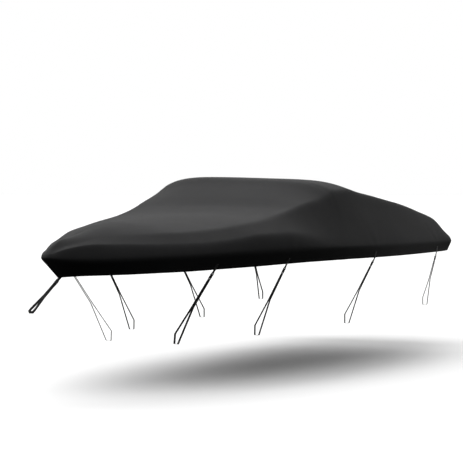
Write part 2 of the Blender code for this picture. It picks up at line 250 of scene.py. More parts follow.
@dataclass(frozen=True)
class CoatedCloth:
    """Black polyester oxford cloth with a water-shedding coat."""

    colour: Colour = (0.0183, 0.0183, 0.0190, 1.0)
    dusty: Colour = (0.0225, 0.0225, 0.0230, 1.0)
    roughness: float = 0.74
    shine: float = 0.10
    sheen: float = 0.02
    sheen_spread: float = 0.45
    pitch: float = 0.0016
    yarns_along: float = 18.0
    yarns_across: float = 420.0
    dust_scale: float = 1.7
    grime_scale: float = 11.0
    depth: float = 0.00035

    def material(self) -> bpy.types.Material:
        """Build the cloth's material: a basket weave, thick and thin yarns, and faint dust.

        Returns:
            The material.
        """
        paint = Painter("coated_cloth", {
            "Sheen Weight": self.sheen,
            "Sheen Roughness": self.sheen_spread,
            "Specular IOR Level": self.shine,
        })
        point, across, along = paint.along("cloth")
        turn = 2.0 * math.pi / self.pitch
        weave = (across * turn).sine() * (along * turn).sine()
        fine, long = self.yarns_across, self.yarns_along
        weft = paint.cloud(paint.stretched(point, (long, fine, 1.0)), 1.0, 1.0)
        warp = paint.cloud(paint.stretched(point, (fine, long, 1.0)), 1.0, 1.0)
        yarns = (weft + warp) * 0.5
        dust = paint.cloud(paint.place(), self.dust_scale, 4.0, 0.6)
        grime = paint.cloud(paint.place(), self.grime_scale, 3.0, 0.6)
        dirt = dust * 0.6 + grime * 0.3 + yarns * 0.3
        colour = paint.blend(dirt.between(0.35, 0.85), self.colour, self.dusty)
        roughness = self.roughness + (grime - 0.5) * 0.10 + (yarns - 0.5) * 0.12
        height = weave * 0.25 + yarns * 0.75 + 0.1
        return paint.finish(colour, roughness, height, self.depth)


@dataclass(frozen=True)
class Webbing:
    """Black polypropylene webbing with a ribbed weave and firm selvedges."""

    colour: Colour = (0.014, 0.014, 0.015, 1.0)
    fuzzed: Colour = (0.030, 0.030, 0.031, 1.0)
    roughness: float = 0.68
    shine: float = 0.3
    sheen: float = 0.3
    sheen_spread: float = 0.5
    rib: float = 0.0016
    row: float = 0.0036
    half_width: float = 0.0125
    fuzz_starts: float = 0.0028
    fuzz_ends: float = 0.0004
    fibres_across: float = 900.0
    fibres_along: float = 140.0
    wear_scale: float = 60.0
    depth: float = 0.0004

    def material(self) -> bpy.types.Material:
        """Build the webbing's material: ribs across, rows along, fuzz on the edges.

        Returns:
            The material.
        """
        paint = Painter("webbing", {
            "Sheen Weight": self.sheen,
            "Sheen Roughness": self.sheen_spread,
            "Specular IOR Level": self.shine,
        })
        point, across, along = paint.along("band")
        rows = (across * (2.0 * math.pi / self.row)).sine()
        ribs = (along * (2.0 * math.pi / self.rib) + rows * 1.4).sine()
        fibres = paint.stretched(point, (self.fibres_across, self.fibres_along, 1.0))
        fibre = paint.cloud(fibres, 1.0, 2.0)
        edge = across.math("ABSOLUTE").between(
            self.half_width - self.fuzz_starts, self.half_width - self.fuzz_ends
        )
        wear = paint.cloud(point, self.wear_scale, 3.0, 0.6)
        fuzz = edge * 0.45 + fibre * 0.35 + wear * 0.25
        colour = paint.blend(fuzz.between(0.2, 0.9), self.colour, self.fuzzed)
        roughness = self.roughness + (fibre - 0.5) * 0.16 + edge * 0.06
        height = ribs * 0.22 + rows * 0.14 + fibre * 0.25 + 0.4
        return paint.finish(colour, roughness, height, self.depth)


@dataclass(frozen=True)
class Moulding:
    """Black acetal with the fine grain of a spark-eroded mould."""

    colour: Colour = (0.016, 0.016, 0.018, 1.0)
    scuffed: Colour = (0.040, 0.040, 0.042, 1.0)
    roughness: float = 0.42
    shine: float = 0.5
    grain_scale: float = 2600.0
    scuffs: tuple[float, float, float] = (60.0, 60.0, 240.0)
    depth: float = 0.00008

    def material(self) -> bpy.types.Material:
        """Build the plastic's material: a fine grain, and scuffs that run across.

        Returns:
            The material.
        """
        paint = Painter("moulded_plastic", {"Specular IOR Level": self.shine})
        place = paint.place()
        grain = paint.cloud(place, self.grain_scale, 2.0)
        scuff = paint.cloud(paint.stretched(place, self.scuffs), 1.0, 4.0, 0.65)
        colour = paint.blend(scuff.between(0.56, 0.78), self.colour, self.scuffed)
        roughness = self.roughness + (grain - 0.5) * 0.10 + scuff.between(0.5, 0.8) * 0.15
        return paint.finish(colour, roughness, grain, self.depth)


@dataclass(frozen=True)
class Thread:
    """Twisted polyester sewing thread, a shade lighter than the cloth."""

    colour: Colour = (0.040, 0.040, 0.042, 1.0)
    lit: Colour = (0.075, 0.075, 0.078, 1.0)
    roughness: float = 0.55
    shine: float = 0.4
    sheen: float = 0.2
    fibre_scale: float = 900.0
    tone_scale: float = 40.0
    depth: float = 0.0001

    def material(self) -> bpy.types.Material:
        """Build the thread's material: fine fibres, and a tone that changes along the seam.

        Returns:
            The material.
        """
        constants = {"Sheen Weight": self.sheen, "Specular IOR Level": self.shine}
        paint = Painter("sewing_thread", constants)
        fibre = paint.cloud(paint.place(), self.fibre_scale, 2.0)
        tone = paint.cloud(paint.place(), self.tone_scale, 1.0)
        colour = paint.blend(tone.between(0.35, 0.65), self.colour, self.lit)
        return paint.finish(colour, self.roughness + fibre * 0.2, fibre, self.depth)


@dataclass(frozen=True)
class StudioPaint:
    """Matt pale paint on the studio's floor."""

    colour: Colour = (0.90, 0.90, 0.90, 1.0)
    clouded: Colour = (0.89, 0.89, 0.89, 1.0)
    roughness: float = 0.9
    cloud_scale: float = 0.4
    depth: float = 0.0001

    def material(self) -> bpy.types.Material:
        """Build the floor's material.

        Returns:
            The material.
        """
        paint = Painter("studio_floor", {"Specular IOR Level": 0.0})
        tone = paint.cloud(paint.place(), self.cloud_scale, 2.0)
        colour = paint.blend(tone, self.clouded, self.colour)
        return paint.finish(colour, self.roughness + tone * 0.05, tone, self.depth)


# --------------------------------------------------------------- shape helpers


def bend(start: Vector, corner: Vector, end: Vector, steps: int) -> list[Vector]:
    """Draw a quadratic curve.

    Args:
        start: Its first point.
        corner: The corner that it rounds.
        end: Its last point.
        steps: How many points it has.

    Returns:
        The points, both ends included.
    """
    points = []
    for step in range(steps):
        t = step / (steps - 1)
        points.append(start * (1 - t) ** 2 + corner * 2 * t * (1 - t) + end * t * t)
    return points


def arc(centre: Vector, radius: float, start: float, sweep: float, steps: int) -> list[Vector]:
    """Return points on an arc of a plane, both ends included; angles are in radians."""
    angles = [start + sweep * step / steps for step in range(steps + 1)]
    return [centre + radius * Vector((math.cos(angle), math.sin(angle))) for angle in angles]


def offset(path: Sequence[Vector], distance: float) -> list[Vector]:
    """Move a path of a plane sideways.

    Args:
        path: The path.
        distance: How far it moves to its left.

    Returns:
        The moved path.
    """
    moved = []
    for index, point in enumerate(path):
        ahead = path[min(index + 1, len(path) - 1)] - path[max(index - 1, 0)]
        moved.append(point + distance * Vector((-ahead.y, ahead.x)).normalized())
    return moved


def taut(points: Iterable[Vector]) -> list[Vector]:
    """Draw a band tight round points of a plane.

    Args:
        points: What the band goes round.

    Returns:
        The band's closed line, anticlockwise.
    """
    ordered = sorted((point.x, point.y) for point in points)
    straight = 1e-12

    def half(sequence: Iterable[tuple[float, float]]) -> list[tuple[float, float]]:
        """Draw one side of the line.

        Args:
            sequence: The points in the order in which that side meets them.

        Returns:
            The side's points, without its last one.
        """
        line: list[tuple[float, float]] = []
        for x, y in sequence:
            while len(line) > 1:
                (ax, ay), (bx, by) = line[-2:]
                if (bx - ax) * (y - ay) - (by - ay) * (x - ax) > straight:
                    break
                line.pop()
            line.append((x, y))
        return line[:-1]

    return [Vector(point) for point in half(ordered) + half(reversed(ordered))]


def stretch(line: Sequence[Vector], start: Vector, end: Vector) -> list[Vector]:
    """Cut a stretch out of a closed line.

    Args:
        line: The closed line.
        start: The point of it where the stretch begins.
        end: The point of it where the stretch ends.

    Returns:
        The line's points from start up to just before end.
    """
    first = min(range(len(line)), key=lambda index: (line[index] - start).length)
    turned = [*line[first:], *line[:first]]
    last = min(range(len(turned)), key=lambda index: (turned[index] - end).length)
    return turned[:last]


def spread(path: Sequence[Vector], step: float) -> list[Vector]:
    """Add points to a path.

    Args:
        path: The path.
        step: How far apart two of its points may be.

    Returns:
        The path with the added points.
    """
    points = [path[0]]
    for start, end in zip(path, path[1:]):
        parts = max(1, math.ceil((end - start).length / step))
        points += [start.lerp(end, part / parts) for part in range(1, parts + 1)]
    return points


def linked(name: str, data: bpy.types.ID) -> bpy.types.Object:
    """Put data into the scene.

    Args:
        name: The new object's name.
        data: The mesh, curve, light or camera that it holds.

    Returns:
        The object.
    """
    made = bpy.data.objects.new(name, data)
    bpy.context.scene.collection.objects.link(made)
    return made


def object_of(
    mesh: bmesh.types.BMesh, name: str, material: bpy.types.Material
) -> bpy.types.Object:
    """Turn a bmesh into a smooth-shaded object of the scene.

    Args:
        mesh: The bmesh, which is freed.
        name: The object's name.
        material: Its finish.

    Returns:
        The object.
    """
    data = bpy.data.meshes.new(name)
    mesh.to_mesh(data)
    mesh.free()
    data.materials.append(material)
    data.shade_smooth()
    return linked(name, data)


def baked(made: bpy.types.Object) -> bpy.types.Object:
    """Replace an object by a plain mesh of what its modifiers make of it.

    Args:
        made: The object, which is removed.

    Returns:
        The plain one, under the same name.
    """
    bpy.context.view_layer.update()
    shown = made.evaluated_get(bpy.context.evaluated_depsgraph_get())
    data = bpy.data.meshes.new_from_object(shown)
    name = made.name
    bpy.data.objects.remove(made, do_unlink=True)
    return linked(name, data)


def enlist(made: bpy.types.Object, slot: Slot, *nodes: str) -> None:
    """Let a piece ride on the part and stand for CAD nodes.

    Args:
        made: The piece.
        slot: Its finish, as the record names it; not used.
        nodes: The CAD nodes that it stands for.
    """
    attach(made, BODY)
    if nodes:
        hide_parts(*nodes)
    log.info("%s: %d faces", made.name, len(made.data.polygons))


# ------------------------------------------------------------- the fitted sheet


class Rib(NamedTuple):
    """One rib of the port side, from its foot on the rail line to the centreline.

    The rail line is where the side turns in to the skirt. Aft is from the tip of the
    bow, up from the rail line there, out from the centreline and in from the rib's
    foot. The hem's drop and the gunwale's rise are from the foot too. Soft is how
    round the ridge is, from 0 to 1, and fullness how soon the crown is at its height.
    """

    rail_aft: float
    rail_out: float
    rail_up: float
    hem_in: float
    hem_down: float
    gunwale_up: float
    shoulder_in: float
    shoulder_up: float
    soft: float
    spine_aft: float
    spine_up: float
    fullness: float


RIBS = (
    Rib(0.000, 0.000, 0.000, 0.216, 0.166, 0.024, 0.086, 0.066, 0.84, 0.330, 0.150, 2.0),
    Rib(0.010, 0.024, 0.000, 0.213, 0.165, 0.025, 0.086, 0.067, 0.84, 0.332, 0.151, 2.0),
    Rib(0.045, 0.052, -0.004, 0.205, 0.160, 0.032, 0.087, 0.071, 0.82, 0.340, 0.153, 2.0),
    Rib(0.120, 0.101, -0.014, 0.180, 0.148, 0.064, 0.086, 0.078, 0.78, 0.375, 0.158, 1.9),
    Rib(0.240, 0.163, -0.024, 0.155, 0.136, 0.092, 0.080, 0.098, 0.66, 0.460, 0.175, 1.9),
    Rib(0.420, 0.267, -0.028, 0.130, 0.130, 0.112, 0.106, 0.133, 0.54, 0.610, 0.211, 1.8),
    Rib(0.660, 0.415, -0.024, 0.114, 0.132, 0.110, 0.146, 0.164, 0.44, 0.810, 0.254, 1.6),
    Rib(0.930, 0.585, -0.014, 0.102, 0.135, 0.094, 0.166, 0.176, 0.38, 1.040, 0.278, 1.4),
    Rib(1.230, 0.758, -0.004, 0.096, 0.137, 0.088, 0.168, 0.188, 0.36, 1.300, 0.286, 1.4),
    Rib(1.580, 0.884, 0.006, 0.090, 0.137, 0.100, 0.174, 0.214, 0.34, 1.620, 0.299, 1.5),
    Rib(1.960, 0.980, 0.013, 0.085, 0.136, 0.132, 0.190, 0.256, 0.36, 1.980, 0.314, 2.0),
    Rib(2.340, 1.045, 0.017, 0.080, 0.132, 0.132, 0.222, 0.302, 0.32, 2.350, 0.334, 2.3),
    Rib(2.650, 1.080, 0.017, 0.075, 0.128, 0.102, 0.236, 0.361, 0.26, 2.655, 0.388, 2.7),
    Rib(2.920, 1.104, 0.015, 0.064, 0.124, 0.070, 0.226, 0.426, 0.22, 2.922, 0.488, 3.2),
    Rib(3.180, 1.122, 0.013, 0.056, 0.121, 0.056, 0.206, 0.476, 0.20, 3.180, 0.588, 4.2),
    Rib(3.340, 1.132, 0.011, 0.051, 0.119, 0.052, 0.202, 0.525, 0.18, 3.340, 0.652, 5.2),
    Rib(3.430, 1.136, 0.011, 0.048, 0.118, 0.050, 0.200, 0.553, 0.17, 3.430, 0.662, 5.4),
    Rib(3.700, 1.146, 0.008, 0.040, 0.116, 0.050, 0.202, 0.567, 0.17, 3.700, 0.664, 5.0),
    Rib(4.050, 1.150, 0.005, 0.028, 0.114, 0.050, 0.204, 0.526, 0.20, 4.050, 0.575, 3.0),
    Rib(4.550, 1.148, 0.002, 0.014, 0.111, 0.042, 0.200, 0.464, 0.24, 4.545, 0.480, 2.8),
    Rib(5.080, 1.138, 0.000, 0.012, 0.107, 0.038, 0.190, 0.394, 0.28, 5.060, 0.405, 2.4),
    Rib(5.520, 1.122, -0.002, 0.014, 0.103, 0.038, 0.170, 0.318, 0.32, 5.440, 0.345, 2.2),
    Rib(5.860, 1.104, -0.004, 0.026, 0.100, 0.050, 0.145, 0.248, 0.40, 5.680, 0.315, 2.4),
    Rib(6.030, 1.088, -0.005, 0.044, 0.097, 0.042, 0.134, 0.160, 0.45, 5.780, 0.300, 2.3),
    Rib(6.098, 1.046, -0.005, 0.058, 0.096, 0.044, 0.134, 0.146, 0.50, 5.820, 0.292, 2.2),
    Rib(6.125, 0.970, -0.005, 0.062, 0.098, 0.050, 0.140, 0.148, 0.45, 5.835, 0.288, 2.2),
    Rib(6.132, 0.780, -0.005, 0.050, 0.100, 0.050, 0.132, 0.158, 0.40, 5.845, 0.286, 2.2),
    Rib(6.138, 0.400, -0.005, 0.046, 0.102, 0.050, 0.088, 0.170, 0.40, 5.848, 0.285, 2.2),
    Rib(6.140, 0.000, -0.005, 0.045, 0.102, 0.050, 0.055, 0.174, 0.40, 5.850, 0.285, 2.2),
)
# So many of the table's last rows go round the corner of the stern and across it.
STERN_ROWS = 5


class Fold(NamedTuple):
    """A soft trough in the cloth, or a ridge where depth is below zero.

    Its ends are given in the cloth's own sizes: aft along the rail, and girth up
    from the hem.
    """

    side: Side
    aft: float
    girth: float
    end_aft: float
    end_girth: float
    width: float
    depth: float


FOLDS = (
    Fold(Side.PORT, 3.30, 0.52, 3.72, 0.14, 0.120, 0.0022),
    Fold(Side.PORT, 3.70, 0.52, 4.90, 0.40, 0.090, 0.0022),
    Fold(Side.PORT, 4.60, 0.20, 5.60, 0.24, 0.060, 0.0018),
    Fold(Side.PORT, 1.10, 0.20, 2.10, 0.23, 0.060, 0.0014),
    Fold(Side.STARBOARD, 3.26, 0.50, 3.66, 0.15, 0.110, 0.0024),
    Fold(Side.STARBOARD, 3.80, 0.54, 5.00, 0.40, 0.095, 0.0022),
    Fold(Side.STARBOARD, 4.50, 0.21, 5.52, 0.24, 0.060, 0.0018),
    Fold(Side.STARBOARD, 1.00, 0.20, 2.06, 0.23, 0.065, 0.0014),
    Fold(Side.PORT, 5.98, 0.30, 5.20, 0.52, 0.080, 0.0026),
    Fold(Side.STARBOARD, 5.98, 0.30, 5.26, 0.50, 0.080, 0.0026),
)


@dataclass
class SheetPoint:
    """A point of the sheet's outer surface, with its place in the flat cloth."""

    at: Vector
    aft: float
    girth: float
    flat: Vector


@dataclass
class CoverForm:
    """The form that the drawn sheet takes, as the CAD solid has it."""

    top_aft: float = 3.45
    top_up: float = 0.6602
    gunwale_in: float = 0.012
    rail_round: float = 0.22
    rail_round_up: float = 0.3
    rail_round_points: int = 9
    settle: float = 0.16
    crown_bias: float = 1.3
    hump_lean: float = 0.030
    hump_length: float = 0.90
    nose_lean: float = 2.3
    nose_length: float = 0.36

    def rib(self, place: float) -> Rib:
        """Read the ribs between their rows by monotone cubics, so that nothing overshoots.

        Args:
            place: A row's number, or a part of the way from one row to the next.

        Returns:
            The rib there.
        """
        index = min(int(place), len(RIBS) - 2)
        part = place - index
        square = part * part
        cube = square * part
        values = []
        for column in range(len(Rib._fields)):
            rows = [max(0, min(index + step, len(RIBS) - 1)) for step in (-1, 0, 1, 2)]
            near = [RIBS[row][column] for row in rows]
            rises = [near[step + 1] - near[step] for step in range(3)]
            slopes = []
            for before, after, at_end in (
                (rises[0], rises[1], index == 0),
                (rises[1], rises[2], index == len(RIBS) - 2),
            ):
                if at_end:
                    slopes.append(before + after)
                elif before * after > 0.0:
                    slopes.append(2.0 * before * after / (before + after))
                else:
                    slopes.append(0.0)
            values.append(
                near[1] * (2.0 * cube - 3.0 * square + 1.0)
                + slopes[0] * (cube - 2.0 * square + part)
                + near[2] * (3.0 * square - 2.0 * cube)
                + slopes[1] * (cube - square)
            )
        return Rib(*values)

    def profile(self, rib: Rib, skirt: int, slope: int, shoulder: int, crown: int) -> list[Vector]:
        """Return a rib's points from the hem to the centreline.

        Args:
            rib: The rib.
            skirt: Steps from the hem to where the rail's round begins.
            slope: Steps up the side.
            shoulder: Steps round the ridge.
            crown: Steps from the ridge to the centreline.

        Returns:
            Points as (inward, up).
        """
        foot = Vector((0.0, rib.rail_up))
        hem = foot + Vector((rib.hem_in, -rib.hem_down))
        gunwale = foot + Vector((self.gunwale_in, rib.gunwale_up))
        ridge = foot + Vector((rib.shoulder_in, rib.shoulder_up - rib.rail_up))
        reach = math.hypot(rib.spine_aft - rib.rail_aft, rib.rail_out)

        def over(part: float) -> Vector:
            """Find a point of the crown.

            Args:
                part: How much of the way it lies from the ridge to the centreline.

            Returns:
                The point, as (inward, up).
            """
            rise = 1.0 - (1.0 - part) ** rib.fullness
            inward = ridge.x + (reach - ridge.x) * part
            return Vector((inward, ridge.y + (rib.spine_up - ridge.y) * rise))

        start = 1.0 - self.rail_round
        points = [hem.lerp(foot, step * start / skirt) for step in range(skirt)]
        round_top = foot.lerp(gunwale, self.rail_round_up)
        points += bend(hem.lerp(foot, start), foot, round_top, self.rail_round_points)
        leave = 1.0 - 0.5 * rib.soft
        points += [gunwale.lerp(ridge, leave * step / slope) for step in range(slope)]
        settle = self.settle * rib.soft
        points += bend(gunwale.lerp(ridge, leave), ridge, over(settle), shoulder + 1)
        for step in range(1, crown + 1):
            part = (step / crown) ** self.crown_bias
            points.append(over(settle + (1.0 - settle) * part))
        return points

    def column(self, side: Side, points: Sequence[Vector], rib: Rib) -> list[Vector]:
        """Stand a rib's profile up in its place.

        Args:
            side: The side that it stands on.
            points: The profile, as (inward, up).
            rib: The rib.

        Returns:
            The profile's points in the part's frame.
        """
        foot = Vector((rib.rail_out, rib.rail_aft))
        spine = Vector((0.0, rib.spine_aft))
        reach = (spine - foot).length
        placed = []
        for inward, up in points:
            plan = foot.lerp(spine, inward / reach)
            above = max(up, 0.0)
            from_top = (plan.y - self.top_aft) / self.hump_length
            hump = math.exp(-(from_top ** 2)) * above / self.top_up
            nose = math.exp(-((plan.y / self.nose_length) ** 2)) * above
            up += side.value * plan.x * (self.nose_lean * nose - self.hump_lean * hump)
            placed.append(Vector((side.value * plan.x, plan.y - self.top_aft, up - self.top_up)))
        return placed

    def hem(self, place: float, side: Side) -> tuple[Vector, Vector]:
        """Find the hem on a rib.

        Args:
            place: The rib's place in the table.
            side: The side that it stands on.

        Returns:
            The hem's point, and a point higher on the skirt.
        """
        rib = self.rib(place)
        skirt = self.profile(rib, skirt=2, slope=3, shoulder=3, crown=5)[:2]
        return tuple(self.column(side, skirt, rib))

    def place_at(self, aft: float) -> float:
        """Find a place along the side, by halving.

        Args:
            aft: How far aft the rib's foot lies.

        Returns:
            The place in the rib table.
        """
        low, high = 0.0, float(len(RIBS) - STERN_ROWS)
        for _ in range(40):
            middle = 0.5 * (low + high)
            if self.rib(middle).rail_aft < aft:
                low = middle
            else:
                high = middle
        return 0.5 * (low + high)


@dataclass
class FittedSheet:
    """The cover's sheet: taut cloth over the form, with a sewn hem along its edge.

    Waver and ripple are the cloth's own unevenness. The pull is what each sewn tab
    does to the cloth over it: two shallow rays that lean apart, and a slack middle.
    """

    form: CoverForm
    tabs: Sequence[float]
    cloth_thick: float = 0.0012
    weld: float = 0.0001
    tiny: float = 1e-6
    column_step: float = 0.022
    skirt_steps: int = 9
    slope_steps: int = 12
    shoulder_steps: int = 8
    crown_steps: int = 18
    smoothing: int = 3
    hem_width: float = 0.030
    hem_rise: float = 0.0003
    hem_ramp: float = 0.003
    hem_seams: tuple[float, float] = (0.005, 0.027)
    fold_taper: float = 0.8
    waver: float = 0.0016
    waver_scale: float = 1.9
    ripple_scale: float = 5.3
    ripple_share: float = 0.4
    waver_ramp: float = 0.3
    pull_depth: float = 0.0022
    pull_lean: float = 0.55
    pull_root: float = 0.04
    pull_width: float = 0.045
    pull_middle: float = 0.5
    pull_middle_width: float = 0.05
    pull_from: float = 0.07
    pull_ramp: float = 0.08
    pull_fade: float = 0.30
    flat_width: float = 3.34
    flat_length: float = 6.83
    flat_area: float = 16.6
    rows: list[dict[Side, list[SheetPoint]]] = field(default_factory=list)

    def places(self) -> list[float]:
        """Share columns of points out along the hem.

        Returns:
            The places of the rib table where the sheet has a column.
        """
        places = []
        for index in range(len(RIBS) - 1):
            start, end = (self.form.hem(index + part, Side.PORT)[0] for part in (0, 1))
            parts = max(3, math.ceil((end - start).length / self.column_step))
            places += [index + part / parts for part in range(parts)]
        return [*places, float(len(RIBS) - 1)]

    def folded(self, point: SheetPoint, side: Side) -> float:
        """Add up what folds, the tabs' pull and chance do to a point of the sheet.

        Args:
            point: The point.
            side: The side that it lies on.

        Returns:
            How far it is pushed in.
        """
        depth = 0.0
        for fold in FOLDS:
            if fold.side is not side:
                continue
            run = Vector((fold.end_aft - fold.aft, fold.end_girth - fold.girth))
            gone = Vector((point.aft - fold.aft, point.girth - fold.girth))
            part = gone.dot(run) / run.length_squared
            if not 0.0 < part < 1.0:
                continue
            across = abs(run.x * gone.y - run.y * gone.x) / run.length
            taper = math.sin(math.pi * part) ** self.fold_taper
            depth += fold.depth * taper * math.exp(-((across / fold.width) ** 2))
        for tab in self.tabs:
            off = abs(point.aft - tab)
            ray = self.pull_lean * max(point.girth - self.pull_root, 0.0)
            spray = math.exp(-(((off - ray) / self.pull_width) ** 2))
            spray -= self.pull_middle * math.exp(-((off / self.pull_middle_width) ** 2))
            rise = min(max(point.girth - self.pull_from, 0.0) / self.pull_ramp, 1.0)
            fade = math.exp(-((point.girth / self.pull_fade) ** 2))
            depth += self.pull_depth * spray * rise * fade
        rough = noise.noise(point.at * self.waver_scale)
        rough += self.ripple_share * noise.noise(point.at * self.ripple_scale)
        return depth + self.waver * rough * min(point.girth / self.waver_ramp, 1.0)

    def loft(self) -> None:
        """Work out the sheet's points: rows of both sides, from the bow to the stern."""
        spine_length = 0.0
        last_spine = None
        steps = (self.skirt_steps, self.slope_steps, self.shoulder_steps, self.crown_steps)
        for place in self.places():
            rib = self.form.rib(place)
            profile = self.form.profile(rib, *steps)
            row = {}
            for side in Side:
                points = self.form.column(side, profile, rib)
                for _ in range(self.smoothing):
                    above = points[self.skirt_steps:]
                    points[self.skirt_steps + 1:-1] = [
                        0.25 * before + 0.5 * point + 0.25 * after
                        for before, point, after in zip(above, above[1:], above[2:])
                    ]
                row[side] = points
            spine = row[Side.PORT][-1]
            if last_spine is not None:
                spine_length += (spine - last_spine).length
            last_spine = spine
            self.rows.append({
                side: self.measured(points, rib.rail_aft, spine_length, spine.y)
                for side, points in row.items()
            })
        for side in Side:
            self.shape(side)

    def measured(
        self, points: Sequence[Vector], aft: float, spine_length: float, spine_aft: float
    ) -> list[SheetPoint]:
        """Give a column's points their places in the flat cloth.

        Args:
            points: The points, from the hem to the centreline.
            aft: How far aft the column's foot lies.
            spine_length: The cloth's length along the centreline up to the column.
            spine_aft: How far aft the column's end lies, in the part's frame.

        Returns:
            The points with their places.
        """
        girths = [0.0]
        for start, end in zip(points, points[1:]):
            girths.append(girths[-1] + (end - start).length)
        column = []
        for point, girth in zip(points, girths):
            plan = Vector((point.x, point.y - spine_aft))
            reach = girths[-1] - girth
            heading = plan.normalized() if plan.length > self.tiny else Vector((0.0, 0.0))
            flat = heading * reach + Vector((0.0, spine_length))
            column.append(SheetPoint(point, aft, girth, flat))
        return column

    def shape(self, side: Side) -> None:
        """Press the folds in along the sheet's normals, and raise the hem.

        Args:
            side: The side that is shaped.
        """
        moved = []
        for index, row in enumerate(self.rows):
            before = self.rows[max(index - 1, 0)][side]
            after = self.rows[min(index + 1, len(self.rows) - 1)][side]
            column = row[side]
            for level, point in enumerate(column[:-1]):
                run = after[level].at - before[level].at
                rise = column[level + 1].at - column[max(level - 1, 0)].at
                normal = side.value * run.cross(rise).normalized()
                push = -self.folded(point, side)
                edge = min(point.girth, self.hem_width - point.girth)
                if edge > -self.hem_ramp:
                    push += self.hem_rise * min(1.0, (edge + self.hem_ramp) / self.hem_ramp)
                if index in (0, len(self.rows) - 1):
                    normal.x = 0.0
                moved.append((point, point.at + normal * push))
        for point, at in moved:
            point.at = at

    def build(self, material: bpy.types.Material) -> bpy.types.Object:
        """Skin the points, close the two sides on the centreline and thicken the cloth.

        Args:
            material: The cloth's finish.

        Returns:
            The sheet.
        """
        mesh = bmesh.new()
        cloth = mesh.loops.layers.uv.new("cloth")
        flats: dict[bmesh.types.BMVert, Vector] = {}
        for side in Side:
            columns = []
            for row in self.rows:
                column = []
                for point in row[side]:
                    vert = mesh.verts.new(point.at)
                    flats[vert] = point.flat
                    column.append(vert)
                columns.append(column)
            for left, right in zip(columns, columns[1:]):
                for level in range(len(left) - 1):
                    corners = (left[level], right[level], right[level + 1], left[level + 1])
                    face = mesh.faces.new(corners[:: side.value])
                    for loop in face.loops:
                        loop[cloth].uv = flats[loop.vert]
        bmesh.ops.remove_doubles(mesh, verts=mesh.verts, dist=self.weld)
        sheet = object_of(mesh, "fitted_sheet", material)
        thick = sheet.modifiers.new("cloth", "SOLIDIFY")
        thick.thickness = self.cloth_thick
        thick.offset = -1.0
        thick.use_even_offset = True
        return baked(sheet)

    def seam(self, side: Side, girth: float, lift: float) -> list[Vector]:
        """Draw a line along the hem.

        Args:
            side: The side that it runs on.
            girth: How far it lies from the hem's edge.
            lift: How far it stands off the cloth.

        Returns:
            The line's points, from the bow to the stern.
        """
        line = []
        for index, row in enumerate(self.rows):
            column = row[side]
            level = max(i for i, point in enumerate(column) if point.girth <= girth)
            low, high = column[level], column[level + 1]
            part = (girth - low.girth) / (high.girth - low.girth)
            near = self.rows[min(index + 1, len(self.rows) - 1)][side][level].at
            behind = self.rows[max(index - 1, 0)][side][level].at
            normal = side.value * (near - behind).cross(high.at - low.at).normalized()
            line.append(low.at.lerp(high.at, part) + normal * lift)
        return line


# -------------------------------------------------------------------- stitching


class Stitch(NamedTuple):
    """A stitch: from one to the next, and how much of it shows."""

    pitch: float
    length: float


HEM_STITCH = Stitch(0.0080, 0.0058)
TAB_STITCH = Stitch(0.0036, 0.0029)


